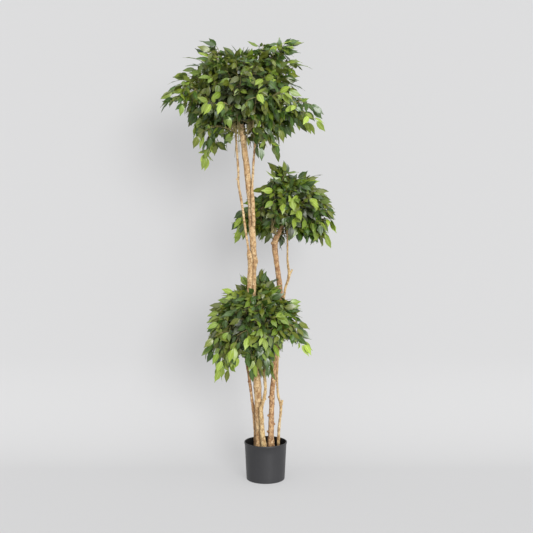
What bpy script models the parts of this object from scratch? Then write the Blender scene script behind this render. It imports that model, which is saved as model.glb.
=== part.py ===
"""Artificial three-headed fig tree: wood stems set in cement in a plastic pot, with wired sprays of leaves.

Metres, +Z up, +X to the right of the front view, front towards -Y.
The origin is the middle of the pot's flat underside.
"""
import bisect
import math
import random

import bmesh
import bpy
from mathutils import Matrix, Vector
from mathutils.bvhtree import BVHTree

# Pot and the cement in it
POT_HEIGHT = 0.157
POT_BASE_RADIUS = 0.079
POT_RIM_RADIUS = 0.0865
POT_BEAD = 0.0016
POT_BEAD_DEPTH = 0.007
POT_WALL = 0.0025
POT_FLOOR = 0.003
POT_STEPS = 32
FILL_DEPTH = 0.034

# Clearances: between pieces that touch, and round the masses' spaces
GAP = 0.0003
SPACE_MARGIN = 0.0015
LIMB_MARGIN = 0.0015

# Leaves and twigs
LEAF_LENGTH = 0.094
LEAF_WIDTH = 0.047
LEAF_SHOULDER = 0.26
LEAF_WAIST = 0.62
LEAF_WAIST_WIDTH = 0.039
LEAF_FOLD = 0.0035
LEAF_CURL = 0.014
LEAF_SPACING = 0.022
LEAF_TRIES = 30
TIP_LEAF_SHARE = 0.85       # how much of a twig's last leaf lies past the twig's end
TWIG_SIDES = 3
STEM_RADIUS = 0.0034
TWIG_RADIUS = 0.0023
TWIG_TIP_RADIUS = 0.0015
TWIG_RINGS = 4
SHORT_TWIG = 0.13
BARE_SHARE = 0.12           # how much of a twig is bare at its root
TWIG_LIFT = 0.20            # how far a twig arches over the straight line to its end, per metre
HIGH_TWIG_LIFT = 0.06
CROWN_TWIG_LIFT = 0.12
STEM_LIFT = 0.12
GOLDEN_ANGLE = math.pi * (3 - math.sqrt(5))

SEAT = POT_HEIGHT - FILL_DEPTH + GAP

# Each limb: its bends from foot to tip as (x, y, z, radius), its number of sides, and its cut stubs as
# (height, azimuth, elevation, length from the limb's middle, radius), angles in degrees
LIMBS = {
    "main_trunk": {
        "sides": 10,
        "bends": [(-0.0288, 0.000, SEAT, 0.0165), (-0.0286, 0.000, 0.170, 0.0147),
                  (-0.0300, 0.000, 0.320, 0.0150), (-0.0354, 0.000, 0.414, 0.0158),
                  (-0.0395, -0.013, 0.540, 0.0150), (-0.0500, -0.031, 0.690, 0.0126),
                  (-0.0500, -0.043, 0.860, 0.0122), (-0.0452, -0.046, 0.912, 0.0122),
                  (-0.0505, -0.050, 0.965, 0.0122), (-0.0560, -0.055, 1.090, 0.0126),
                  (-0.0612, -0.053, 1.165, 0.0128), (-0.0742, -0.047, 1.272, 0.0124),
                  (-0.0893, -0.040, 1.392, 0.0117), (-0.0970, -0.032, 1.456, 0.0102)],
        "stubs": []},
    "twin_stem": {
        "sides": 8,
        "bends": [(-0.0553, -0.0365, 0.560, 0.0060), (-0.0598, -0.0432, 0.630, 0.0103),
                  (-0.0633, -0.0509, 0.700, 0.0103), (-0.0646, -0.0564, 0.790, 0.0103),
                  (-0.0614, -0.0629, 0.873, 0.0103), (-0.0630, -0.0630, 0.928, 0.0100),
                  (-0.0685, -0.0590, 0.955, 0.0052), (-0.0806, -0.0450, 1.032, 0.0048),
                  (-0.0960, -0.0400, 1.145, 0.0047), (-0.1085, -0.0400, 1.215, 0.0046),
                  (-0.1096, -0.0400, 1.273, 0.0044), (-0.1177, -0.0380, 1.392, 0.0042),
                  (-0.1178, -0.0360, 1.430, 0.0040)],
        "stubs": [(1.234, 180, 20, 0.0095, 0.0026)]},
    "upper_right_stem": {
        "sides": 6,
        "bends": [(-0.0470, -0.0715, 1.050, 0.0062), (-0.0500, -0.0756, 1.110, 0.0082),
                  (-0.0512, -0.0742, 1.155, 0.0076), (-0.0530, -0.0690, 1.200, 0.0052),
                  (-0.0510, -0.0600, 1.250, 0.0045), (-0.0462, -0.0500, 1.330, 0.0043),
                  (-0.0392, -0.0420, 1.410, 0.0043), (-0.0405, -0.0400, 1.462, 0.0040)],
        "stubs": []},
    "left_stem": {
        "sides": 6,
        "bends": [(-0.0420, 0.0240, SEAT, 0.0068), (-0.0469, 0.0220, 0.241, 0.0062),
                  (-0.0564, 0.0200, 0.326, 0.0060), (-0.0700, 0.0200, 0.430, 0.0057),
                  (-0.0805, 0.0200, 0.493, 0.0053), (-0.0850, 0.0200, 0.575, 0.0048)],
        "stubs": [(0.402, 180, 20, 0.0085, 0.0030)]},
    "centre_stem": {
        "sides": 8,
        "bends": [(-0.0040, -0.0240, SEAT, 0.0135), (-0.0110, -0.0240, 0.172, 0.0108),
                  (-0.0169, -0.0245, 0.252, 0.0097), (-0.0186, -0.0250, 0.296, 0.0081),
                  (-0.0078, -0.0250, 0.336, 0.0068), (-0.0012, -0.0250, 0.375, 0.0067),
                  (-0.0030, -0.0250, 0.420, 0.0064), (-0.0100, -0.0250, 0.500, 0.0055),
                  (-0.0115, -0.0250, 0.565, 0.0050)],
        "stubs": [(0.338, 0, 10, 0.0105, 0.0032)]},
    "second_trunk": {
        "sides": 10,
        "bends": [(0.0228, 0.0200, SEAT, 0.0146), (0.0225, 0.0200, 0.200, 0.0117),
                  (0.0255, 0.0200, 0.320, 0.0108), (0.0322, 0.0220, 0.409, 0.0100),
                  (0.0401, 0.0350, 0.532, 0.0095), (0.0596, 0.0500, 0.718, 0.0110),
                  (0.0600, 0.0550, 0.772, 0.0114), (0.0468, 0.0700, 0.883, 0.0108),
                  (0.0385, 0.0790, 0.955, 0.0120), (0.0425, 0.0800, 0.990, 0.0134),
                  (0.0600, 0.0800, 1.026, 0.0110), (0.0650, 0.0800, 1.048, 0.0102)],
        "stubs": [(0.335, 190, 15, 0.0160, 0.0040), (0.262, 185, -5, 0.0165, 0.0042),
                  (0.222, -10, 15, 0.0170, 0.0040), (0.188, 180, 20, 0.0180, 0.0040),
                  (0.970, 175, 15, 0.0170, 0.0052)]},
    "right_stem": {
        "sides": 6,
        "bends": [(0.0536, 0.0300, SEAT, 0.0064), (0.0550, 0.0300, 0.197, 0.0058),
                  (0.0635, 0.0310, 0.300, 0.0055), (0.0525, 0.0320, 0.340, 0.0050),
                  (0.0477, 0.0350, 0.400, 0.0043), (0.0513, 0.0430, 0.504, 0.0048),
                  (0.0659, 0.0580, 0.655, 0.0050), (0.0800, 0.0680, 0.775, 0.0052),
                  (0.0975, 0.0700, 0.840, 0.0060), (0.0915, 0.0740, 0.895, 0.0040),
                  (0.0904, 0.0800, 0.986, 0.0037), (0.0890, 0.0830, 1.030, 0.0036)],
        "stubs": [(0.302, 10, 72, 0.0220, 0.0042), (0.838, 5, 62, 0.0300, 0.0036)]},
}

# Each head: the limb that carries it, the height where its stems are wired in, how far out and up its
# stems go, the middle and half-sizes of its outline, the lowest and highest elevation of its twigs, its
# sectors, and the outlying sprays as the places that their last leaves reach. Angles are in degrees.
HEADS = {
    "top_head": {
        "carrier": "main_trunk", "collar": 1.436, "seed": 11, "hub": (0.085, 0.070),
        "middle": (-0.090, -0.030, 1.575), "half": (0.245, 0.245), "up": 0.216, "down": 0.190,
        "boxy": 0.62, "lowest": -38, "highest": 62, "twigs": 19, "first": 10,
        "floor": 1.18, "ceiling": 1.80, "crown_radius": 0.120, "crown_foot": 1.610, "crown_stem": 0.23,
        "crown_twigs": 9, "crown_lowest": 42, "crown_highest": 82,
        "sectors": ["right", "back", "left", "front"],
        "sprays": [(-0.418, -0.04, 1.540), (-0.268, -0.06, 1.285), (-0.290, -0.10, 1.405),
                   (0.226, -0.03, 1.415), (0.045, -0.08, 1.345), (0.190, 0.02, 1.700),
                   (0.140, -0.02, 1.775), (0.055, -0.04, 1.798), (-0.250, -0.04, 1.790),
                   (-0.315, 0.02, 1.720), (-0.190, 0.06, 1.775), (-0.060, 0.27, 1.380),
                   (-0.010, -0.20, 1.480), (-0.110, -0.23, 1.580),
                   (0.060, 0.22, 1.440), (-0.220, 0.25, 1.480)]},
    "middle_head": {
        "carrier": "second_trunk", "collar": 1.030, "seed": 23, "hub": (0.085, 0.030),
        "middle": (0.100, 0.085, 1.125), "half": (0.190, 0.190), "up": 0.185, "down": 0.140,
        "boxy": 0.80, "lowest": -34, "highest": 62, "twigs": 17, "first": -20,
        "floor": 0.93, "ceiling": 1.32, "crown_radius": 0.085, "crown_foot": 1.120, "crown_stem": 0.15,
        "crown_twigs": 11, "crown_lowest": 24, "crown_highest": 82,
        "sectors": ["right", "back", "left"],
        "sprays": [(0.310, 0.06, 1.000), (0.276, 0.02, 0.955), (-0.135, 0.05, 0.970),
                   (-0.045, 0.08, 1.185), (-0.115, 0.10, 1.070), (0.100, 0.28, 1.010)]},
    "bottom_head": {
        "carrier": "main_trunk", "collar": 0.630, "seed": 37, "hub": (0.085, 0.020),
        "other_roots": {"front": ("twin_stem", 0.660)},
        "middle": (-0.040, -0.015, 0.645), "half": (0.195, 0.195), "up": 0.155, "down": 0.160,
        "boxy": 0.80, "lowest": -48, "highest": 90, "twigs": 25, "first": 0,
        "floor": 0.395, "ceiling": 0.875, "crown_radius": 0,
        "sectors": ["right", "back", "left", "front"],
        "sprays": [(-0.247, -0.05, 0.640), (-0.235, -0.09, 0.500), (-0.195, -0.10, 0.430),
                   (-0.060, -0.13, 0.405), (0.180, -0.04, 0.545), (0.150, 0.02, 0.715),
                   (-0.105, -0.03, 0.860), (0.010, 0.04, 0.870), (-0.020, 0.15, 0.440),
                   (-0.050, -0.17, 0.740), (0.030, -0.18, 0.680), (-0.110, -0.18, 0.620)]},
}

COLOURS = {
    "dark_plastic": ((0.055, 0.055, 0.058), 0.45),
    "cement": ((0.020, 0.020, 0.019), 0.90),
    "bark": ((0.50, 0.33, 0.17), 0.75),
    "leaf_green": ((0.085, 0.125, 0.035), 0.55),
}


def clear_scene():
    for obj in list(bpy.data.objects):
        bpy.data.objects.remove(obj, do_unlink=True)


def material(name):
    made = bpy.data.materials.get(name)
    if made is None:
        made = bpy.data.materials.new(name)
        made.use_nodes = True
        colour, roughness = COLOURS[name]
        shader = made.node_tree.nodes["Principled BSDF"]
        shader.inputs["Base Color"].default_value = (*colour, 1)
        shader.inputs["Roughness"].default_value = roughness
        shader.inputs["Metallic"].default_value = 0
    return made


def mesh_object(name, bm, collection, finish=None):
    mesh = bpy.data.meshes.new(name)
    bm.to_mesh(mesh)
    bm.free()
    obj = bpy.data.objects.new(name, mesh)
    collection.objects.link(obj)
    if finish:
        mesh.materials.append(material(finish))
    return obj


def turned(name, profile, finish, collection):
    """A closed profile of (radius, height) points, run down its outer side, turned about Z."""
    bm = bmesh.new()
    verts = [bm.verts.new((radius, 0, height)) for radius, height in profile]
    for start, end in zip(verts, verts[1:]):
        bm.edges.new((start, end))
    obj = mesh_object(name, bm, collection, finish)
    screw = obj.modifiers.new("turn", "SCREW")
    screw.steps = screw.render_steps = POT_STEPS
    screw.use_merge_vertices = True
    screw.merge_threshold = 0.0001
    screw.use_smooth_shade = False
    return obj


def pot_radius(height):
    return POT_BASE_RADIUS + (POT_RIM_RADIUS - POT_BASE_RADIUS) * height / POT_HEIGHT


def make_pot(collection):
    bead = POT_RIM_RADIUS + POT_BEAD
    bead_foot = POT_HEIGHT - POT_BEAD_DEPTH
    profile = [(POT_RIM_RADIUS - POT_WALL, POT_HEIGHT), (bead - 0.001, POT_HEIGHT),
               (bead, POT_HEIGHT - 0.0015), (bead, bead_foot),
               (pot_radius(bead_foot), bead_foot - 0.001), (pot_radius(0.006), 0.006),
               (POT_BASE_RADIUS - 0.004, 0), (0, 0),
               (0, POT_FLOOR), (pot_radius(POT_FLOOR) - POT_WALL, POT_FLOOR),
               (POT_RIM_RADIUS - POT_WALL, POT_HEIGHT)]
    turned("pot", profile, "dark_plastic", collection)
    foot = POT_FLOOR + GAP
    top = POT_HEIGHT - FILL_DEPTH
    clear = POT_WALL + GAP
    filling = [(0, top), (pot_radius(top) - clear, top), (pot_radius(foot) - clear, foot), (0, foot)]
    turned("pot_filling", filling, "cement", collection)


class Limb:
    """A stem's middle and radius at any height, through its bends, upright at its foot and tip."""

    def __init__(self, name, bends):
        self.name = name
        self.heights = [bend[2] for bend in bends]
        self.values = [Vector((x, y, radius)) for x, y, _, radius in bends]
        self.slopes = [Vector((0, 0, 0))]
        for i in range(1, len(bends) - 1):
            rise = self.heights[i + 1] - self.heights[i - 1]
            self.slopes.append((self.values[i + 1] - self.values[i - 1]) / rise)
        self.slopes.append(Vector((0, 0, 0)))

    def at(self, height):
        """Middle and radius at a height, on the cubic between its two bends."""
        i = min(max(bisect.bisect_right(self.heights, height) - 1, 0), len(self.heights) - 2)
        rise = self.heights[i + 1] - self.heights[i]
        t = (height - self.heights[i]) / rise
        value = (self.values[i] * (2 * t**3 - 3 * t**2 + 1) + self.values[i + 1] * (3 * t**2 - 2 * t**3)
                 + self.slopes[i] * rise * (t**3 - 2 * t**2 + t) + self.slopes[i + 1] * rise * (t**3 - t**2))
        return Vector((value.x, value.y, height)), value.z

    def rings(self):
        """Heights of the limb's rings: its bends, with the long stretches halved."""
        longest = 0.075
        heights = []
        for low, high in zip(self.heights, self.heights[1:]):
            parts = max(1, math.ceil((high - low) / longest))
            heights += [low + (high - low) * k / parts for k in range(parts)]
        return heights + [self.heights[-1]]


def ring_frames(points):
    """For each point of a path, two directions square to it that turn as little as they can."""
    side = Vector((0.31, 0.87, 0.38))
    frames = []
    for i, point in enumerate(points):
        before = points[max(i - 1, 0)]
        after = points[min(i + 1, len(points) - 1)]
        along = (after - before).normalized()
        side = (side - along * side.dot(along)).normalized()
        frames.append((side, along.cross(side)))
    return frames


def tube(points, radii, sides, level=False):
    """A closed tapering tube as a bmesh, one ring of vertices at each point, square to the path or level."""
    bm = bmesh.new()
    rings = []
    frames = [(Vector((1, 0, 0)), Vector((0, 1, 0)))] * len(points) if level else ring_frames(points)
    for point, radius, (side, up) in zip(points, radii, frames):
        angles = [2 * math.pi * k / sides for k in range(sides)]
        rings.append([bm.verts.new(point + (side * math.cos(a) + up * math.sin(a)) * radius) for a in angles])
    for lower, upper in zip(rings, rings[1:]):
        for k in range(sides):
            bm.faces.new((lower[k - 1], lower[k], upper[k], upper[k - 1]))
    bm.faces.new(reversed(rings[0]))
    bm.faces.new(rings[-1])
    return bm


def heading(azimuth, elevation):
    """A unit vector, from angles in radians."""
    level = math.cos(elevation)
    return Vector((level * math.cos(azimuth), level * math.sin(azimuth), math.sin(elevation)))


def one_body(obj):
    """Drops the loose scraps and fills the sealed hollows that a union leaves."""
    bm = bmesh.new()
    bm.from_mesh(obj.data)
    bmesh.ops.remove_doubles(bm, verts=bm.verts, dist=1e-6)
    left = set(bm.faces)
    shells = []
    while left:
        shell = set()
        front = [left.pop()]
        while front:
            face = front.pop()
            shell.add(face)
            near = {other for edge in face.edges for other in edge.link_faces} & left
            left -= near
            front += near
        shells.append(shell)
    shells.sort(key=len)
    for shell in shells[:-1]:
        bmesh.ops.delete(bm, geom=list(shell), context="FACES")
    bm.to_mesh(obj.data)
    bm.free()


def fuse(obj, pieces):
    """One union of an object with a list of bmeshes, applied."""
    scraps = bpy.data.collections.new("pieces_of_" + obj.name)
    bpy.context.scene.collection.children.link(scraps)
    for number, piece in enumerate(pieces):
        mesh_object(f"piece_{number}", piece, scraps)
    union = obj.modifiers.new("union", "BOOLEAN")
    union.operation = "UNION"
    union.operand_type = "COLLECTION"
    union.collection = scraps
    union.solver = "EXACT"
    evaluated = obj.evaluated_get(bpy.context.evaluated_depsgraph_get())
    fused = bpy.data.meshes.new_from_object(evaluated)
    obj.modifiers.clear()
    old = obj.data
    obj.data = fused
    bpy.data.meshes.remove(old)
    for scrap in list(scraps.objects):
        mesh = scrap.data
        bpy.data.objects.remove(scrap)
        bpy.data.meshes.remove(mesh)
    bpy.data.collections.remove(scraps)
    one_body(obj)


def make_limb(limb, sides, stubs, collection):
    stations = [limb.at(height) for height in limb.rings()]
    bm = tube([middle for middle, _ in stations], [radius for _, radius in stations], sides, level=True)
    obj = mesh_object(limb.name, bm, collection, "bark")
    pieces = []
    for height, azimuth, elevation, length, radius in stubs:
        middle, _ = limb.at(height)
        along = heading(math.radians(azimuth), math.radians(elevation))
        pieces.append(tube([middle, middle + along * length], [radius * 1.2, radius * 0.85], 5))
    if pieces:
        fuse(obj, pieces)
    obj.data.shade_smooth()
    obj.data.set_sharp_from_angle(angle=math.radians(50))
    return obj


class Space:
    """Where one mass may lie: it fits when all its points are inside every plane of one of its parts."""

    def __init__(self, parts):
        self.parts = parts

    def holds(self, points):
        for planes in self.parts:
            if all(normal.dot(point) > offset + SPACE_MARGIN
                   for normal, offset in planes for point in points):
                return True
        return False


def plane(normal, through):
    return normal, normal.dot(through)


def head_spaces(head, axis):
    """The spaces of a head's masses: a wedge for each sector, and a prism over the carrier's tip."""
    up = Vector((0, 0, 1))
    split = Vector((0, 0, head.get("crown_foot", 0)))
    limits = [plane(up, Vector((0, 0, head["floor"]))), plane(-up, Vector((0, 0, head["ceiling"])))]
    count = len(head["sectors"])
    width = 2 * math.pi / count
    spaces = {}
    prism = list(limits) + [plane(up, split)]
    for k, sector in enumerate(head["sectors"]):
        azimuth = math.radians(head["first"]) + k * width
        walls = [plane(heading(azimuth - width / 2 + math.pi / 2, 0), axis),
                 plane(heading(azimuth + width / 2 - math.pi / 2, 0), axis)]
        if head["crown_radius"]:
            outward = heading(azimuth, 0)
            edge = axis + outward * head["crown_radius"]
            parts = [limits + walls + [plane(-up, split)], limits + walls + [plane(outward, edge)]]
            prism.append(plane(-outward, edge))
        else:
            parts = [limits + walls]
        spaces[sector] = (azimuth, Space(parts))
    return spaces, Space([prism])


def leaf(root, along, face):
    """A pointed leaf of 8 faces, folded along its rib like a boat, with its tip curled down."""
    bm = bmesh.new()
    side = face.cross(along)
    bm.verts.new(root)
    bm.verts.new(root + along * LEAF_LENGTH - face * LEAF_CURL)
    for share, width in ((LEAF_SHOULDER, LEAF_WIDTH), (LEAF_WAIST, LEAF_WAIST_WIDTH)):
        rib = root + along * share * LEAF_LENGTH + face * (LEAF_FOLD - LEAF_CURL * share * share)
        for half in (-width / 2, width / 2):
            bm.verts.new(rib + side * half)
    bmesh.ops.convex_hull(bm, input=bm.verts)
    return bm


def arc(start, end, lift, count):
    """Points on an arched twig, lifted at its middle by a share of its length."""
    middle = (start + end) / 2 + Vector((0, 0, lift * (end - start).length))
    steps = [k / (count - 1) for k in range(count)]
    return [start * (1 - t)**2 + middle * 2 * t * (1 - t) + end * t**2 for t in steps]


def taper(first, last, count):
    return [first + (last - first) * k / (count - 1) for k in range(count)]


def along_path(points, fraction):
    """Place and direction at a fraction of a path's points."""
    position = fraction * (len(points) - 1)
    k = min(int(position), len(points) - 2)
    return points[k].lerp(points[k + 1], position - k), (points[k + 1] - points[k]).normalized()


class Mass:
    """One mass of foliage: a wired stem, the twigs that arch from it and their leaves."""

    def __init__(self, name, space, middle, stem, limbs, seed):
        self.name = name
        self.space = space
        self.middle = middle
        self.limbs = limbs
        self.dice = random.Random(seed)
        self.stem = tube(stem, taper(STEM_RADIUS, TWIG_RADIUS, len(stem)), TWIG_SIDES)
        self.pieces = []
        self.shapes = [BVHTree.FromBMesh(self.stem)]
        self.leaves = 0

    def fits(self, bm, others):
        """Whether a piece keeps to the space, off the limbs and off the other pieces given."""
        if not self.space.holds([vert.co for vert in bm.verts]):
            return False
        shape = BVHTree.FromBMesh(bm)
        return not any(shape.overlap(other) for other in [self.limbs] + others)

    def add(self, bm):
        self.pieces.append(bm)
        self.shapes.append(BVHTree.FromBMesh(bm))

    def add_twig(self, points, radii):
        """Adds a twig as far as it stays in the space and off the limbs, and returns the part kept."""
        kept = 1
        while kept < len(points):
            stretch = tube(points[kept - 1:kept + 1], radii[kept - 1:kept + 1], TWIG_SIDES)
            fits = self.fits(stretch, [])
            stretch.free()
            if not fits:
                break
            kept += 1
        if kept == 1:
            return []
        self.add(tube(points[:kept], radii[:kept], TWIG_SIDES))
        return points[:kept]

    def add_leaf(self, root, direction, side, others):
        """A leaf that leaves its twig to one side, hangs a little and faces up and out of the head.

        It is drawn again where it would leave the space or touch a limb or a leaf, and skipped in the end.
        """
        outward = (root - self.middle).normalized()
        for attempt in range(LEAF_TRIES):
            across = direction.cross(Vector((0, 0, 1))).normalized() * side * self.dice.uniform(0.6, 1.0)
            hang = Vector((0, 0, -self.dice.uniform(0.25, 0.75))) * (1 if side else 0.4)
            spin = Vector([self.dice.uniform(-0.6, 0.6) for _ in range(3)])
            forward = direction * self.dice.uniform(0.5, 0.9)
            along = (forward + across + hang + spin * attempt * 0.2).normalized()
            face = outward * 0.75 + Vector((0, 0, 0.45)) + spin * (1 + attempt * 0.1)
            face = (face - along * face.dot(along)).normalized()
            piece = leaf(root, along, face)
            if self.fits(piece, others):
                self.add(piece)
                self.leaves += 1
                return
            piece.free()

    def dress(self, points, own, first):
        """Leaves set alternately along a twig, from a fraction of its length to its tip."""
        length = sum((b - a).length for a, b in zip(points, points[1:]))
        count = max(1, round(length * (1 - first) / LEAF_SPACING))
        for k in range(count + 1):
            root, direction = along_path(points, first + (0.97 - first) * min(1, (k + 0.5) / count))
            side = 0 if k == count else 1 - 2 * (k % 2)
            self.add_leaf(root, direction, side, self.shapes[:own] + self.shapes[own + 1:])

    def add_spray(self, start, reach, lift):
        """A twig whose last leaf ends at its reach."""
        end = reach - (reach - start).normalized() * LEAF_LENGTH * TIP_LEAF_SHARE
        rings = TWIG_RINGS - 1 if (end - start).length < SHORT_TWIG else TWIG_RINGS
        path = self.add_twig(arc(start, end, lift, rings), taper(TWIG_RADIUS, TWIG_TIP_RADIUS, rings))
        if path:
            self.dress(path, len(self.shapes) - 1, BARE_SHARE)

    def build(self, collection):
        obj = mesh_object(self.name, self.stem, collection, "leaf_green")
        fuse(obj, self.pieces)
        return obj


def outline(head, azimuth, rise, share):
    """A place on a head's rounded outline, at an azimuth and the sine of an elevation, times a share."""
    level = (1 - rise * rise) ** (head["boxy"] / 2)
    height = head["up"] if rise > 0 else head["down"]
    offset = Vector((head["half"][0] * level * math.cos(azimuth), head["half"][1] * level * math.sin(azimuth),
                     height * math.copysign(abs(rise) ** head["boxy"], rise)))
    return Vector(head["middle"]) + offset * share


def sector_reaches(head, axis, dice):
    """Where the sectors' last leaves reach, by sector: evenly by the golden angle, then the outlying sprays.

    Each place is turned about the carrier a little towards the middle of its sector, which leaves room
    for leaves on both sides of its twig.
    """
    count = len(head["sectors"])
    width = 2 * math.pi / count
    first = math.radians(head["first"])
    lowest = math.sin(math.radians(head["lowest"]))
    highest = math.sin(math.radians(head["highest"]))
    places = []
    for k in range(head["twigs"]):
        rise = lowest + (highest - lowest) * (k + 0.5) / head["twigs"]
        places.append((outline(head, k * GOLDEN_ANGLE, rise, dice.uniform(0.88, 1.04)), 0.82))
    places += [(Vector(spray), 0.92) for spray in head["sprays"]]
    reaches = {sector: [] for sector in head["sectors"]}
    for place, keep in places:
        spoke = place - axis
        turn = (math.atan2(spoke.y, spoke.x) - first + width / 2) % (2 * math.pi)
        k = int(turn / width)
        azimuth = first + k * width + (turn - (k + 0.5) * width) * keep
        level = math.hypot(spoke.x, spoke.y)
        reaches[head["sectors"][k]].append(axis + Vector((0, 0, spoke.z)) + heading(azimuth, 0) * level)
    return reaches


def crown_stem(head, carrier):
    """The upright stem of a head's crown, from 0.3 mm over the carrier's tip."""
    tip, _ = carrier.at(carrier.heights[-1])
    rises = [GAP, 0.5 * head["crown_stem"], head["crown_stem"]]
    return [tip + Vector((0, 0, rise)) for rise in rises]


def seated(root, outward, carrier):
    """Moves a stem's root out of its carrier until its end face is just clear."""
    step = GAP / 3
    while True:
        foot = tube([root, root + outward], [STEM_RADIUS] * 2, TWIG_SIDES)
        cap = [root] + [vert.co.copy() for vert in foot.verts][:TWIG_SIDES]
        foot.free()
        nearest = [carrier.find_nearest(point) for point in cap]
        if all(distance >= GAP and (point - place).dot(normal) > 0
               for point, (place, normal, _, distance) in zip(cap, nearest)):
            return root
        root = root + outward * step


def make_head(name, head, limbs, shapes, tree, collection):
    """A head's masses, each grown from its own stem, wired 0.3 mm clear into the carrier."""
    carrier = limbs[head["carrier"]]
    axis, _ = carrier.at(head["collar"])
    spaces, prism = head_spaces(head, axis)
    middle = Vector(head["middle"])
    dice = random.Random(head["seed"])
    owners = sector_reaches(head, axis, dice)
    masses = []
    for number, (sector, (azimuth, space)) in enumerate(spaces.items()):
        outward = heading(azimuth, 0)
        limb, height = head.get("other_roots", {}).get(sector, (head["carrier"], head["collar"]))
        pith, girth = limbs[limb].at(height)
        root = seated(pith + outward * girth, outward, shapes[limb])
        hub = root + outward * head["hub"][0] + Vector((0, 0, head["hub"][1]))
        stem = [root, root + outward * 0.010] + arc(root + outward * 0.022, hub, STEM_LIFT, 4)
        mass = Mass(f"{name}_{sector}", space, middle, stem, tree, head["seed"] + number + 1)
        reaches = sorted(owners[sector], key=lambda reach: (reach - root).length)
        for k, reach in enumerate(reaches):
            start, _ = along_path(stem, 0.40 + 0.58 * (k + 0.5) / len(reaches))
            high = reach.z > middle.z + head["up"] / 2
            mass.add_spray(start, reach, HIGH_TWIG_LIFT if high else TWIG_LIFT)
        masses.append(mass)
    if head["crown_radius"]:
        stem = crown_stem(head, carrier)
        mass = Mass(f"{name}_crown", prism, middle, stem, tree, head["seed"] + 9)
        lowest, highest = head["crown_lowest"], head["crown_highest"]
        for k in range(head["crown_twigs"]):
            share = (k + 0.5) / head["crown_twigs"]
            start, _ = along_path(stem, 0.70 + 0.26 * share)
            rise = math.sin(math.radians(lowest + (highest - lowest) * share))
            mass.add_spray(start, outline(head, k * GOLDEN_ANGLE, rise, 1), CROWN_TWIG_LIFT)
        mass.dress(stem, 0, 0.65)
        masses.append(mass)
    for mass in masses:
        obj = mass.build(collection)
        faces = sum(len(face.vertices) - 2 for face in obj.data.polygons)
        print(obj.name, "leaves", mass.leaves, "triangles", faces)


def limbs_with_margin(limbs):
    """A search tree of all limbs and crown stems, thickened by what a leaf must keep off them."""
    paths = []
    for limb in limbs.values():
        stations = [limb.at(height) for height in limb.rings()]
        paths.append(([middle for middle, _ in stations], [radius + LIMB_MARGIN for _, radius in stations]))
    for head in HEADS.values():
        if head["crown_radius"]:
            foot = crown_stem(head, limbs[head["carrier"]])[0]
            top = Vector((foot.x, foot.y, head["crown_foot"]))
            paths.append(([foot, top], [STEM_RADIUS + LIMB_MARGIN] * 2))
    thick = bmesh.new()
    for points, radii in paths:
        mesh = bpy.data.meshes.new("margin")
        shape = tube(points, radii, 8)
        shape.to_mesh(mesh)
        shape.free()
        thick.from_mesh(mesh)
        bpy.data.meshes.remove(mesh)
    tree = BVHTree.FromBMesh(thick)
    thick.free()
    return tree


def main():
    clear_scene()
    collection = bpy.data.collections.new("three_headed_fig_tree")
    bpy.context.scene.collection.children.link(collection)
    make_pot(collection)
    limbs = {name: Limb(name, spec["bends"]) for name, spec in LIMBS.items()}
    shapes = {}
    for name, spec in LIMBS.items():
        obj = make_limb(limbs[name], spec["sides"], spec["stubs"], collection)
        shapes[name] = BVHTree.FromPolygons([vert.co for vert in obj.data.vertices],
                                            [face.vertices for face in obj.data.polygons])
    tree = limbs_with_margin(limbs)
    for name, head in HEADS.items():
        make_head(name, head, limbs, shapes, tree, collection)


main()
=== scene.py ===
# An artificial weeping fig: bare wood stems set in a dark plastic pot, with leafy heads at three heights.
# Metres, +Z up, +X to the right of the front view, the front towards -Y, the origin under the pot.
import bisect
import random
from math import atan2, copysign, cos, exp, hypot, inf, pi, radians, remainder, sin, sqrt

import bmesh
import bpy
import numpy as np
from mathutils import Matrix, Vector, noise


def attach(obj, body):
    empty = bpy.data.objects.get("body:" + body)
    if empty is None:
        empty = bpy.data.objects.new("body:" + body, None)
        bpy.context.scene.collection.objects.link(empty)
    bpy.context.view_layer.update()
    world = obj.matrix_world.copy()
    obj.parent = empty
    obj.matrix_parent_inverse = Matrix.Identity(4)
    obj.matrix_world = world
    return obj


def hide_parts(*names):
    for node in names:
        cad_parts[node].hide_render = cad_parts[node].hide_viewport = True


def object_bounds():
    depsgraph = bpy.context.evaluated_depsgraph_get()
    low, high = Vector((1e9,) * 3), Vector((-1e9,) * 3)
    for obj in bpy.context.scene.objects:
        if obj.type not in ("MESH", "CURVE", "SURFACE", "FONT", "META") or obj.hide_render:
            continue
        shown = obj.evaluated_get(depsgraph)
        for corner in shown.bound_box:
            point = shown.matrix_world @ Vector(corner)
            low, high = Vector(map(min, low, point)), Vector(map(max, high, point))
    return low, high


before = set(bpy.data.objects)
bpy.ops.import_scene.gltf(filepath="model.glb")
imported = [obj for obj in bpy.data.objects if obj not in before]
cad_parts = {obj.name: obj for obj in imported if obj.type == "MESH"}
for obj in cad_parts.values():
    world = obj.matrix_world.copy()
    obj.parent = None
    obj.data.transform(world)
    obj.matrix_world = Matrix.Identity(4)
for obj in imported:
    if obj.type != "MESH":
        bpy.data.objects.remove(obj)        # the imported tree: every piece below stands where its node is
cadBox = [list(corner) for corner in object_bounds()]
scene = bpy.context.scene


# ---- shader maths

class Wire:
    # the output of a node, which sums and products can be written with
    def __init__(self, finish, socket):
        self.finish = finish
        self.socket = socket

    def maths(self, operation, *values):
        return self.finish.node("Math", {"operation": operation}, dict(enumerate(values)))

    def __add__(self, other):
        return self.maths("ADD", self, other)

    def __sub__(self, other):
        return self.maths("SUBTRACT", self, other)

    def __rsub__(self, other):
        return self.maths("SUBTRACT", other, self)

    def __mul__(self, other):
        return self.maths("MULTIPLY", self, other)

    __radd__ = __add__


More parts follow.
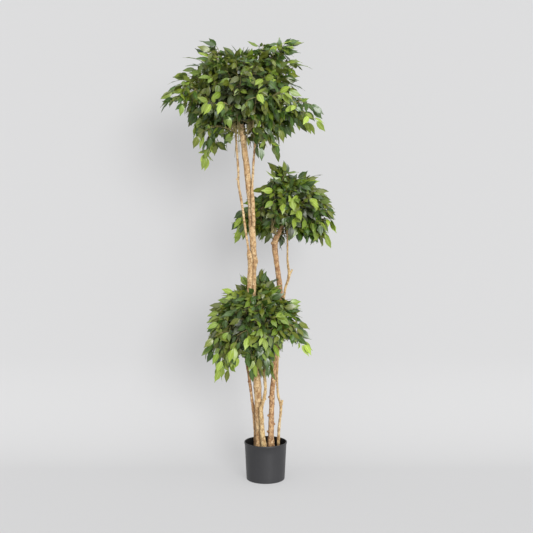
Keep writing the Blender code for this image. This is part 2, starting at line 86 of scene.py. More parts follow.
class Finish:
    # one material, with its Principled shader
    def __init__(self, name, roughness, **plain):
        self.material = bpy.data.materials.new(name)
        self.material.use_nodes = True
        self.tree = self.material.node_tree
        self.shader = self.tree.nodes["Principled BSDF"]
        self.wear(Roughness=roughness, **plain)

    def node(self, kind, settings, sockets, output=0):
        made = self.tree.nodes.new("ShaderNode" + kind)
        for key, value in settings.items():
            setattr(made, key, value)
        for socket, value in sockets.items():
            self.feed(made.inputs[socket], value)
        return Wire(self, made.outputs[output])

    def feed(self, socket, value):
        if isinstance(value, Wire):
            self.tree.links.new(value.socket, socket)
        else:
            socket.default_value = value

    def wear(self, **sockets):
        for socket, value in sockets.items():
            self.feed(self.shader.inputs[socket.replace("_", " ")], value)

    def place(self, stretch=(1, 1, 1)):
        # the piece's own coordinates in metres, stretched
        spot = self.node("TexCoord", {}, {}, "Object")
        return self.node("Mapping", {}, {"Vector": spot, "Scale": stretch})

    def grain(self, spot, scale, detail, roughness=0.55):
        # noise from 0 to 1
        return self.node("TexNoise", {},
                         {"Vector": spot, "Scale": scale, "Detail": detail, "Roughness": roughness})

    def step(self, value, low, high):
        # 0 below low, 1 above high
        return self.node("MapRange", {"interpolation_type": "SMOOTHSTEP"},
                         {"Value": value, "From Min": low, "From Max": high})

    def tint(self, share, first, second):
        return self.node("Mix", {"data_type": "RGBA"}, {0: share, 6: first, 7: second}, 2)

    def relief(self, height, depth):
        self.wear(Normal=self.node("Bump", {}, {"Height": height, "Distance": depth}, "Normal"))


def paint(red, green, blue):
    # a screen colour, 0 to 255, as the linear colour that shaders take
    def linear(level):
        level /= 255
        return level / 12.92 if level <= 0.04045 else ((level + 0.055) / 1.055) ** 2.4
    return (linear(red), linear(green), linear(blue), 1)


# ---- pieces

def meshPiece(name, bm, *finishes, sharp=40):
    # a bmesh as a piece with its finishes
    mesh = bpy.data.meshes.new(name)
    bm.to_mesh(mesh)
    bm.free()
    return dress(name, mesh, finishes, sharp)


def dress(name, mesh, finishes, sharp):
    for finish in finishes:
        mesh.materials.append(finish.material)
    mesh.shade_smooth()
    mesh.set_sharp_from_angle(angle=radians(sharp))
    piece = bpy.data.objects.new(name, mesh)
    scene.collection.objects.link(piece)
    return piece


def settle(piece, slot, *nodes):
    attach(piece, "root")
    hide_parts(*nodes)


def turn(profile, steps):
    # a closed turned shape: the profile runs from the axis round to the axis
    bm = bmesh.new()
    verts = [bm.verts.new((radius, 0, height)) for radius, height in profile]
    edges = [bm.edges.new(pair) for pair in zip(verts, verts[1:])]
    bmesh.ops.spin(bm, geom=verts + edges, cent=(0, 0, 0), axis=(0, 0, 1), angle=2 * pi,
                   steps=steps, use_merge=True)
    bmesh.ops.remove_doubles(bm, verts=bm.verts, dist=1e-6)
    bmesh.ops.recalc_face_normals(bm, faces=bm.faces)
    return bm


def rounded(corner, radius, first, last, steps=5):
    # points on a quarter arc about a corner's centre, from one angle to another in degrees
    x, z = corner
    angles = [radians(first + (last - first) * k / steps) for k in range(steps + 1)]
    return [(x + radius * cos(a), z + radius * sin(a)) for a in angles]


# ---- pot and cement

pot = {"height": 0.157, "baseRadius": 0.079, "rimRadius": 0.0865, "wall": 0.0025, "floor": 0.003,
       "bead": 0.0016, "beadDepth": 0.0072, "lip": 0.0011, "footRadius": 0.004, "steps": 128,
       "recess": 0.0012, "recessRadius": 0.052, "recessSlope": 0.0015, "fillDepth": 0.034,
       "fillGap": 0.0004, "fillBumps": 0.0016, "fillRings": 18, "fillSteps": 72}


def potWall(height):
    return pot["baseRadius"] + (pot["rimRadius"] - pot["baseRadius"]) * height / pot["height"]


def makePot(finish, paintedShadeFinish):
    top, lip, foot, recess = pot["height"], pot["lip"], pot["footRadius"], pot["recess"]
    rim = pot["rimRadius"] + pot["bead"]
    under = top - pot["beadDepth"]
    inner = pot["rimRadius"] - pot["wall"]
    hollow = pot["recessRadius"]
    profile = [(0, recess), (hollow, recess), (hollow + pot["recessSlope"], 0)]
    profile += rounded((pot["baseRadius"] - foot, foot), foot, -90, 0)
    profile += [(potWall(under * share), under * share) for share in (0.2, 0.4, 0.6, 0.8)]
    wall = potWall(under)
    profile += [(wall + 0.0001, under - 0.001), (wall + 0.0006, under - 0.0002)]        # a fillet
    profile += rounded((rim - lip, under + lip), lip, -60, 0)
    profile += rounded((rim - lip, top - lip), lip, 0, 90)
    profile += rounded((inner + lip, top - lip), lip, 90, 180)
    profile += [(potWall(share * top) - pot["wall"], share * top) for share in (0.9, 0.8, 0.7, 0.4)]
    profile += [(potWall(2 * foot) - pot["wall"], 2 * foot), (pot["baseRadius"] - 1.5 * foot, pot["floor"]),
                (0, pot["floor"])]
    bm = turn(profile, pot["steps"])
    # painted shade: faces that look in towards the axis, inside the pot's wall, take a darker plastic for
    # the shade that falls inside the pot
    for face in bm.faces:
        middle = face.calc_center_median()
        if middle.z > pot["floor"] / 2 and face.normal.xy.dot(middle.xy) < 0:
            face.material_index = 1
    return meshPiece("potShell", bm, finish, paintedShadeFinish)


def makeCement(finish):
    top = pot["height"] - pot["fillDepth"]
    edge = potWall(top) - pot["wall"] - pot["fillGap"]
    foot = pot["floor"] + pot["fillGap"]
    profile = [(0, foot), (potWall(foot) - pot["wall"] - pot["footRadius"], foot)]
    profile += [(edge, top - 0.0025), (edge - 0.0012, top - 0.0008)]        # a worn edge
    profile += [(edge * ring / pot["fillRings"], top) for ring in range(pot["fillRings"] - 1, -1, -1)]
    bm = turn(profile, pot["fillSteps"])
    for vert in bm.verts:
        if vert.co.z > top - 0.003:        # the top and its edge
            lumps = noise.fractal(vert.co * 60, 0.8, 2.0, 4)
            vert.co.z += pot["fillBumps"] * (lumps - 0.6)
    return meshPiece("cementFill", bm, finish, sharp=60)


def plasticFinish(name, low, high):
    made = Finish(name, 0.45, Specular_IOR_Level=0.42)
    spot = made.place()
    cloudy = made.grain(spot, 9, 3)
    streaks = made.grain(made.place((60, 60, 3)), 1.0, 3)        # faint upright flow lines of the moulding
    shade = cloudy * 0.5 + streaks * 0.5
    fine = made.grain(spot, 900, 2)
    made.wear(Base_Color=made.tint(shade, paint(*low), paint(*high)),
              Roughness=0.34 + cloudy * 0.12 + fine * 0.08)
    made.relief(fine * 0.6 + streaks * 0.4, 0.00012)
    return made


def cementFinish():
    made = Finish("darkCement", 0.92)
    spot = made.place()
    lumps = made.grain(spot, 70, 6)
    grit = made.node("TexVoronoi", {}, {"Vector": spot, "Scale": 420})
    made.wear(Base_Color=made.tint(lumps, paint(14, 14, 13), paint(36, 35, 33)))
    made.relief(lumps + grit * 0.4, 0.0008)
    return made


# ---- stems

# the pale, tan and brown of each kind of bark, and how much more of it is brown
barkTones = {"pale": ((210, 182, 138), (184, 148, 104), (126, 88, 54), 0.02),
             "yellow": ((210, 184, 136), (186, 154, 104), (128, 92, 58), 0.02),
             "ruddy": ((200, 164, 120), (174, 134, 92), (124, 80, 52), 0.05),
             "dark": ((200, 164, 120), (174, 134, 92), (118, 74, 48), 0.07)}
# the last colour and width here are a painted shade, darkening the bark where one stem touches another
bark = {"ringStep": 0.0036, "lumps": 0.085, "bumps": 0.0007, "streaks": 0.0005, "flecks": 0.0006,
        "knotReach": 0.0085, "worn": (234, 214, 176), "paintedCleftShade": (74, 48, 30), "paintedCleftShadeWidth": 0.006}
# Each stem's bends from foot to tip as (x, y, height, radius), the number of sides, its cut stubs as
# (height, azimuth, elevation, length, radius) and its knots as (height, azimuth, size)
seat = pot["height"] - pot["fillDepth"] + 0.0003
stems = {
    "mainTrunk": {
        "node": "main_trunk", "sides": 36, "seed": 3, "tones": "pale",
        "bends": [
            (-0.0288, 0, seat, 0.0165), (-0.0286, 0, 0.17, 0.0147), (-0.03, 0, 0.32, 0.015),
            (-0.0354, 0, 0.414, 0.0158), (-0.0395, -0.013, 0.54, 0.015), (-0.05, -0.031, 0.69, 0.0126),
            (-0.05, -0.043, 0.86, 0.0122), (-0.0452, -0.046, 0.912, 0.0122),
            (-0.0505, -0.05, 0.965, 0.0122), (-0.056, -0.055, 1.09, 0.0126),
            (-0.0612, -0.053, 1.165, 0.0128), (-0.0742, -0.047, 1.272, 0.0124),
            (-0.0893, -0.04, 1.392, 0.0117), (-0.097, -0.032, 1.456, 0.0102)],
        "stubs": [],
        "knots": [
            (0.33, 290, 0.0022), (0.905, 20, 0.0026), (1.1, 285, 0.002), (0.215, 250, 0.0016),
            (1.33, 250, 0.0014), (0.47, 240, 0.0015), (1.2, 320, 0.0014)]},
    "twinStem": {
        "node": "twin_stem", "sides": 28, "seed": 5, "tones": "pale",
        "bends": [
            (-0.0553, -0.0365, 0.56, 0.006), (-0.0598, -0.0432, 0.63, 0.0103),
            (-0.0633, -0.0509, 0.7, 0.0103), (-0.0646, -0.0564, 0.79, 0.0103),
            (-0.0614, -0.0629, 0.873, 0.0103), (-0.063, -0.063, 0.928, 0.01),
            (-0.0685, -0.059, 0.955, 0.0052), (-0.0806, -0.045, 1.032, 0.0048),
            (-0.096, -0.04, 1.145, 0.0047), (-0.1085, -0.04, 1.215, 0.0046),
            (-0.1096, -0.04, 1.273, 0.0044), (-0.1177, -0.038, 1.392, 0.0042),
            (-0.1178, -0.036, 1.43, 0.004)],
        "stubs": [(1.234, 180, 20, 0.0095, 0.0026)],
        "knots": [
            (0.936, 270, 0.003), (0.93, 200, 0.0022), (0.84, 280, 0.0016), (1.033, 260, 0.0012),
            (1.15, 240, 0.0012), (1.3, 280, 0.0011)]},
    "upperRightStem": {
        "node": "upper_right_stem", "sides": 20, "seed": 7, "tones": "pale",
        "bends": [
            (-0.047, -0.0715, 1.05, 0.0062), (-0.05, -0.0756, 1.11, 0.0082),
            (-0.0512, -0.0742, 1.155, 0.0076), (-0.053, -0.069, 1.2, 0.0052), (-0.051, -0.06, 1.25, 0.0045),
            (-0.0462, -0.05, 1.33, 0.0043), (-0.0392, -0.042, 1.41, 0.0043), (-0.0405, -0.04, 1.462, 0.004)],
        "stubs": [],
        "knots": [(1.16, 270, 0.002), (1.255, 300, 0.0011), (1.345, 270, 0.0011)]},
    "leftStem": {
        "node": "left_stem", "sides": 20, "seed": 9, "tones": "ruddy",
        "bends": [
            (-0.042, 0.024, seat, 0.0068), (-0.0469, 0.022, 0.241, 0.0062), (-0.0564, 0.02, 0.326, 0.006),
            (-0.07, 0.02, 0.43, 0.0057), (-0.0805, 0.02, 0.493, 0.0053), (-0.085, 0.02, 0.575, 0.0048)],
        "stubs": [(0.402, 180, 20, 0.0085, 0.003)],
        "knots": [(0.25, 270, 0.0012), (0.33, 240, 0.0012), (0.455, 280, 0.0012)]},
    "centreStem": {
        "node": "centre_stem", "sides": 26, "seed": 11, "tones": "yellow",
        "bends": [
            (-0.004, -0.024, seat, 0.0135), (-0.011, -0.024, 0.172, 0.0108),
            (-0.0169, -0.0245, 0.252, 0.0097), (-0.0186, -0.025, 0.296, 0.0081),
            (-0.0078, -0.025, 0.336, 0.0068), (-0.0012, -0.025, 0.375, 0.0067),
            (-0.003, -0.025, 0.42, 0.0064), (-0.01, -0.025, 0.5, 0.0055), (-0.0115, -0.025, 0.565, 0.005)],
        "stubs": [(0.338, 0, 10, 0.0105, 0.0032)],
        "knots": [(0.194, 290, 0.0018), (0.25, 320, 0.0016), (0.3, 230, 0.0018), (0.4, 270, 0.0014)]},
    "secondTrunk": {
        "node": "second_trunk", "sides": 32, "seed": 13, "tones": "dark",
        "bends": [
            (0.0228, 0.02, seat, 0.0146), (0.0225, 0.02, 0.2, 0.0117), (0.0255, 0.02, 0.32, 0.0108),
            (0.0322, 0.022, 0.409, 0.01), (0.0401, 0.035, 0.532, 0.0095), (0.0596, 0.05, 0.718, 0.011),
            (0.06, 0.055, 0.772, 0.0114), (0.0468, 0.07, 0.883, 0.0108), (0.0385, 0.079, 0.955, 0.012),
            (0.0425, 0.08, 0.99, 0.0134), (0.06, 0.08, 1.026, 0.011), (0.065, 0.08, 1.048, 0.0102)],
        "stubs": [
            (0.335, 190, 15, 0.016, 0.004), (0.262, 185, -5, 0.0165, 0.0042),
            (0.222, -10, 15, 0.017, 0.004), (0.188, 180, 20, 0.018, 0.004), (0.97, 175, 15, 0.017, 0.0052)],
        "knots": [
            (0.262, 270, 0.0024), (0.335, 250, 0.002), (0.222, 300, 0.0018), (0.395, 290, 0.0018),
            (0.188, 240, 0.0016), (0.76, 300, 0.0016), (0.88, 250, 0.0018), (0.985, 280, 0.0022)]},
    "rightStem": {
        "node": "right_stem", "sides": 20, "seed": 17, "tones": "yellow",
        "bends": [
            (0.0536, 0.03, seat, 0.0064), (0.055, 0.03, 0.197, 0.0058), (0.0635, 0.031, 0.3, 0.0055),
            (0.0525, 0.032, 0.34, 0.005), (0.0477, 0.035, 0.4, 0.0043), (0.0513, 0.043, 0.504, 0.0048),
            (0.0659, 0.058, 0.655, 0.005), (0.08, 0.068, 0.775, 0.0052), (0.0975, 0.07, 0.84, 0.006),
            (0.0915, 0.074, 0.895, 0.004), (0.0904, 0.08, 0.986, 0.0037), (0.089, 0.083, 1.03, 0.0036)],
        "stubs": [(0.302, 10, 72, 0.022, 0.0042), (0.838, 5, 62, 0.03, 0.0036)],
        "knots": [(0.205, 280, 0.0013), (0.305, 200, 0.0016), (0.62, 270, 0.0011), (0.838, 200, 0.0014)]},
}


class Path:
    # a stem's middle and radius at any height, through its bends, upright at its foot and tip
    def __init__(self, bends):
        self.heights = [bend[2] for bend in bends]
        self.values = [Vector((x, y, radius)) for x, y, _, radius in bends]
        self.slopes = [Vector((0, 0, 0))]
        for i in range(1, len(bends) - 1):
            rise = self.heights[i + 1] - self.heights[i - 1]
            self.slopes.append((self.values[i + 1] - self.values[i - 1]) / rise)
        self.slopes.append(Vector((0, 0, 0)))

    def at(self, height):
        i = min(max(bisect.bisect_right(self.heights, height) - 1, 0), len(self.heights) - 2)
        rise = self.heights[i + 1] - self.heights[i]
        t = min(max((height - self.heights[i]) / rise, 0), 1)
        value = (self.values[i] * (2 * t**3 - 3 * t**2 + 1) + self.values[i + 1] * (3 * t**2 - 2 * t**3)
                 + self.slopes[i] * rise * (t**3 - 2 * t**2 + t) + self.slopes[i + 1] * rise * (t**3 - t**2))
        return Vector((value.x, value.y, height)), value.z

    def gap(self, point):
        # how far a point is from the stem's side, or endlessly far above and below the stem
        if not self.heights[0] <= point.z <= self.heights[-1]:
            return inf
        middle, radius = self.at(point.z)
        return (point - middle).length - radius


paths = {name: Path(spec["bends"]) for name, spec in stems.items()}


def heading(azimuth, elevation):
    # a unit vector, from angles in radians
    level = cos(elevation)
    return Vector((level * cos(azimuth), level * sin(azimuth), sin(elevation)))


def barkRelief(angle, height, radius, knots, seed):
    # how far the bark stands out at a place on a stem
    spoke = Vector((cos(angle), sin(angle), 0)) * radius
    lumps = noise.noise(spoke * 40 + Vector((seed, 0, height * 22)))
    lumps += 0.8 * noise.noise(spoke * 60 + Vector((seed, 7, height * 64)))
    streaks = noise.noise(spoke * 420 + Vector((0, seed, height * 45)))
    flecks = noise.noise(spoke * 300 + Vector((seed, seed, height * 330)))
    out = (bark["bumps"] + radius * bark["lumps"]) * lumps
    out += bark["streaks"] * streaks + bark["flecks"] * max(flecks, 0)
    for knotHeight, azimuth, size in knots:
        rise = height - knotHeight
        if abs(rise) > 3 * bark["knotReach"]:
            continue
        across = radius * (remainder(angle - radians(azimuth), 2 * pi))
        reach = hypot(rise, across) / bark["knotReach"]
        out += size * (exp(-reach**2) - 0.75 * exp(-(reach * 3)**2))
    return out


def makeTube(middles, radii, sides, shape):
    # a closed tube along level rings, from a grid that is rolled up; shape adds to the radius at a place
    rings = len(middles) - 1
    bm = bmesh.new()
    bmesh.ops.create_grid(bm, x_segments=sides, y_segments=rings, size=0.5)
    for vert in bm.verts:
        ring = round((vert.co.y + 0.5) * rings)
        angle = 2 * pi * round((vert.co.x + 0.5) * sides) / sides
        radius = radii[ring] + shape(angle, ring)
        vert.co = middles[ring] + Vector((cos(angle), sin(angle), 0)) * radius
    bmesh.ops.remove_doubles(bm, verts=bm.verts, dist=1e-6)
    bmesh.ops.holes_fill(bm, edges=[edge for edge in bm.edges if edge.is_boundary], sides=0)
    bmesh.ops.recalc_face_normals(bm, faces=bm.faces)
    return bm


def addStub(bm, root, along, girth, length, radius):
    # a pruned side shoot: it flares out of the stem and ends in a slightly hollow cut
    cut = length - 0.0005
    profile = [(0, 0), (radius * 2.0, girth * 0.55), (radius * 1.75, girth * 0.9),
               (radius * 1.25, girth * 1.15), (radius * 1.05, length * 0.88), (radius * 0.9, length),
               (radius * 0.5, cut), (0, cut)]
    stub = turn(profile, 14)
    turned = along.to_track_quat("Z", "Y").to_matrix().to_4x4()
    bmesh.ops.transform(stub, matrix=Matrix.Translation(root) @ turned, verts=stub.verts)
    mesh = bpy.data.meshes.new("stub")
    stub.to_mesh(mesh)
    stub.free()
    bm.from_mesh(mesh)
    bpy.data.meshes.remove(mesh)


def paintedCleftShade(name, point):
    # painted shade: 1 where another stem touches this one, 0 where none is near, for the shade in the groove
    # between them
    gap = min(path.gap(point) for other, path in paths.items() if other != name)
    return 1 - min(max(gap, 0) / bark["paintedCleftShadeWidth"], 1)


def makeStem(name, spec, finish):
    path = paths[name]
    foot, tip = path.heights[0], path.heights[-1]
    count = round((tip - foot) / bark["ringStep"])
    heights = [foot + (tip - foot) * k / count for k in range(count + 1)]
    stations = [path.at(height) for height in heights]
    middles, radii = zip(*stations)
    last = len(heights) - 1

    def shape(angle, ring):
        fade = min(1, ring / 2, (last - ring) / 2)
        return fade * barkRelief(angle, heights[ring], radii[ring], spec["knots"], spec["seed"])

    bm = makeTube(middles, radii, spec["sides"], shape)
    for height, azimuth, elevation, length, radius in spec["stubs"]:
        root, girth = path.at(height)
        addStub(bm, root, heading(radians(azimuth), radians(elevation)), girth, length, radius)
    piece = meshPiece(name, bm, finish, sharp=62)
    # painted shade: each point keeps how near another stem is, so the bark can darken where the stems touch
    paintedCleftShades = piece.data.attributes.new("paintedCleftShade", "FLOAT", "POINT")
    paintedCleftShades.data.foreach_set("value", [paintedCleftShade(name, vert.co) for vert in piece.data.vertices])
    settle(piece, "bark", spec["node"])
    return piece


def barkFinish(name, pale, tan, brown, spotShare):
    made = Finish(name, 0.72, Specular_IOR_Level=0.3)
    cloudy = made.grain(made.place((1, 1, 0.55)), 40, 4)         # patches of pale and tan bark
    blotch = made.grain(made.place((1, 1, 0.8)), 84, 4, 0.6)     # brown patches where the outer bark is left
    worn = made.grain(made.place((1, 1, 0.7)), 130, 3)           # pale places where it has gone
    streaks = made.grain(made.place((1, 1, 0.16)), 170, 5, 0.6)  # upright cracks
    fine = made.grain(made.place((1, 1, 0.7)), 420, 4, 0.6)
    cells = made.node("TexVoronoi", {"feature": "SMOOTH_F1"},
                      {"Vector": made.place((1, 1, 1.7)), "Scale": 88, "Randomness": 1.0})
    pores = 1 - made.step(cells, 0.12, 0.38)                     # short pores that lie across the stem
    patches = made.step(blotch, 0.54 - spotShare, 0.63 - spotShare)
    colour = made.tint(made.step(cloudy, 0.36, 0.66), paint(*pale), paint(*tan))
    colour = made.tint(made.step(worn, 0.54, 0.68) * 0.65, colour, paint(*bark["worn"]))
    for mask, share in ((made.step(streaks, 0.52, 0.72), 0.5), (made.step(fine, 0.52, 0.8), 0.32),
                        (pores, 0.54), (patches, 0.62)):
        colour = made.tint(mask * share, colour, paint(*brown))
    # painted shade: the bark darkens to a deep brown where another stem touches, standing for the shade in
    # the groove
    paintedGrooveShade = made.node("Attribute", {"attribute_name": "paintedCleftShade"}, {}, "Fac")
    colour = made.tint(paintedGrooveShade * 0.85, colour, paint(*bark["paintedCleftShade"]))
    made.wear(Base_Color=colour, Roughness=0.62 + fine * 0.2)
    made.relief(streaks * -0.5 + fine * 0.5 - pores * 0.4 - patches * 0.4, 0.0018)
    return made


# ---- leaves

leafForm = {"petiole": 0.008, "petioleWidth": 0.0013, "blade": 0.055, "width": 0.028, "thickness": 0.00045,
            "belly": 0.8, "basePoint": 0.72, "tipPoint": 0.95}
leafRows = [0, 0, 0.11, 0.32, 0.58, 0.82, 1.0]      # shares of the blade; the first is the petiole's foot
leafColumns = [-1, -0.55, -0.065, 0.065, 0.55, 1]
leafLength = leafForm["petiole"] + leafForm["blade"]
# each kind of leaf as how far it folds, domes, curls down, sweeps aside and ripples
leafShapes = [(0.3, 0.16, 0.16, 0.03, 0.001), (0.16, 0.1, 0.26, -0.05, 0.0014),
              (0.42, 0.24, 0.1, 0.06, 0.0008), (0.22, 0.2, 0.36, 0, 0.0012),
              (0.1, 0.06, 0.2, -0.02, 0.0016)]
leafParts = ["blade", "rib", "back"]                # a leaf's finishes, in order


def leafTemplate(shape):
    # one closed leaf along +Y with its upper side to +Z, as the arrays that copies are made from: points,
    # corners, how many corners each face has, each face's finish, and the corners' places on the leaf
    fold, dome, curl, sweep, ripple = shape
    rows, columns = len(leafRows) - 1, len(leafColumns) - 1
    bm = bmesh.new()
    bm.loops.layers.uv.new("leafMap")
    bmesh.ops.create_grid(bm, x_segments=columns, y_segments=rows, size=0.5, calc_uvs=True)
    bmesh.ops.solidify(bm, geom=bm.faces[:], thickness=0.1)
    bm.normal_update()
    middle = columns // 2
    lowest = min(vert.co.z for vert in bm.verts)
    for face in bm.faces:
        column = int((face.calc_center_median().x + 0.5) * columns)
        upper = "rib" if column == middle else "blade"
        face.material_index = leafParts.index("back" if face.normal.z < -0.5 else upper)
    for vert in bm.verts:
        column, row = round((vert.co.x + 0.5) * columns), round((vert.co.y + 0.5) * rows)
        across, share = leafColumns[column], leafRows[row]
        point = leafForm["basePoint"] + leafForm["tipPoint"] * share
        half = leafForm["width"] / 2 * max(sin(pi * share ** leafForm["belly"]), 0) ** point
        half = max(half, leafForm["petioleWidth"] / 2 if row < 3 else 0.0002)
        along = 0 if row == 0 else leafForm["petiole"] + leafForm["blade"] * share
        reach = along / leafLength
        lift = half * (fold * abs(across) - dome * across * across)
        lift += ripple * abs(across) * sin(share * 15 + across)
        lift -= curl * reach ** 2.2 * leafForm["blade"]
        if vert.co.z > lowest + 0.05 and abs(across) < 1 and 0 < row < rows:
            lift += leafForm["thickness"]
        vert.co = Vector((across * half + sweep * reach ** 2 * leafForm["blade"], along, lift))
    bmesh.ops.remove_doubles(bm, verts=bm.verts, dist=5e-5)
    bmesh.ops.recalc_face_normals(bm, faces=bm.faces)
    bm.verts.index_update()
    uv = bm.loops.layers.uv.active
    faces = list(bm.faces)
    loops = [loop for face in faces for loop in face.loops]
    made = (np.array([vert.co for vert in bm.verts]), np.array([loop.vert.index for loop in loops]),
            np.array([len(face.verts) for face in faces]), np.array([face.material_index for face in faces]),
            np.array([loop[uv].uv for loop in loops]))
    bm.free()
    return made


def joinLeaves(name, leaves, templates, finishes):
    # one piece from many leaves, each given as (template number, matrix, shade)
    copies = []
    count = 0
    for number, matrix, shade in leaves:
        points, corners, sizes, parts, uvs = templates[number]
        grid = np.array(matrix)
        copies.append((points @ grid[:3, :3].T + grid[:3, 3], corners + count, sizes, parts, uvs,
                       np.full(len(points), shade)))
        count += len(points)
    points, corners, sizes, parts, uvs, shades = (np.concatenate(arrays) for arrays in zip(*copies))
    mesh = bpy.data.meshes.new(name)
    mesh.vertices.add(count)
    mesh.vertices.foreach_set("co", points.astype(np.float32).ravel())
    mesh.loops.add(len(corners))
    mesh.loops.foreach_set("vertex_index", corners.astype(np.int32))
    mesh.polygons.add(len(sizes))
    mesh.polygons.foreach_set("loop_start", (np.cumsum(sizes) - sizes).astype(np.int32))
    mesh.polygons.foreach_set("material_index", parts.astype(np.int32))
    leafMap = mesh.uv_layers.new(name="leafMap")
    leafMap.data.foreach_set("uv", uvs.astype(np.float32).ravel())
    shadeLayer = mesh.attributes.new("shade", "FLOAT", "POINT")
    shadeLayer.data.foreach_set("value", shades.astype(np.float32))
    mesh.update(calc_edges=True)
    mesh.validate()
    return dress(name, mesh, finishes, 55)


# the leaf tones: blade, rib and back as screen colours, and the roughness. The paler backs are partly the
# fabric's own paler underside and partly painted light, standing for light that shines through the leaf
leafTones = {
    # painted shade: the inner tone is a darker green for the leaves deep in a head, where shade falls
    "inner": ((48, 60, 10), (78, 92, 42), (80, 92, 42), 0.44),
    "deep": ((56, 82, 22), (98, 122, 62), (98, 114, 56), 0.33),
    "olive": ((92, 102, 22), (122, 134, 54), (116, 126, 54), 0.35),
    "mid": ((106, 130, 36), (138, 156, 72), (128, 142, 66), 0.37),
    "fresh": ((132, 154, 48), (170, 186, 96), (148, 166, 76), 0.42),
}


def leafFinish(tone, part):
    *colours, roughness = leafTones[tone]
    extra, gloss = (0.18, 0.25) if part == "back" else (0, 0.7)
    roughness += extra
    made = Finish(f"{tone}{part.capitalize()}", roughness, Specular_IOR_Level=gloss)
    # the shade attribute holds each leaf's random tone together with its painted shade, darker deeper in the
    # head
    shade = made.node("Attribute", {"attribute_name": "shade"}, {}, "Fac")
    blotch = made.grain(made.place(), 55, 3)
    level = shade * (0.84 + blotch * 0.32)
    plain = paint(*colours[leafParts.index(part)])[:3]
    colour = made.node("VectorMath", {"operation": "SCALE"}, {0: plain, "Scale": level})
    made.wear(Base_Color=colour, Roughness=roughness - 0.06 + blotch * 0.12)
    return made


# ---- heads

goldenAngle = pi * (3 - sqrt(5))
# How twigs grow. The shares count from 0 at a twig's root or a head's middle to 1 at the tip or on the body
twig = {"boughRadius": 0.0034, "radius": 0.002, "tipRadius": 0.0008, "shootRadius": 0.0011,
        "leafSpacing": 0.0188, "shootSpacing": 0.036, "shootReach": (0.03, 0.062), "bareShare": 0.22,
        "bareCore": 0.3, "paintedShadeCore": 0.52, "youngFrom": 0.66, "youngExtra": 0.15, "tipLeaf": 0.95,
        "strayTone": 0.3, "toneShares": (0.54, 0.28, 0.18), "lift": 0.29, "climbLift": 0.45,
        "tuftShares": (0.92, 1.02), "sisterShare": 0.6, "sisterReach": 0.045, "frontFlat": 0.8,
        "clear": 0.002, "leafClear": 0.004, "proud": 0.012}
# how a leaf lies: the range or share of each part of its pose, its size, width and shade, and the tries
pose = {"tries": 6, "onward": (0.25, 0.9), "across": (0.6, 1.1), "hang": (-0.1, 0.55), "lowHang": 0.55,
        "wild": 0.32, "size": (0.64, 1.2), "width": (0.9, 1.1), "shade": (0.72, 1.3)}
greens = ["deep", "olive", "mid"]
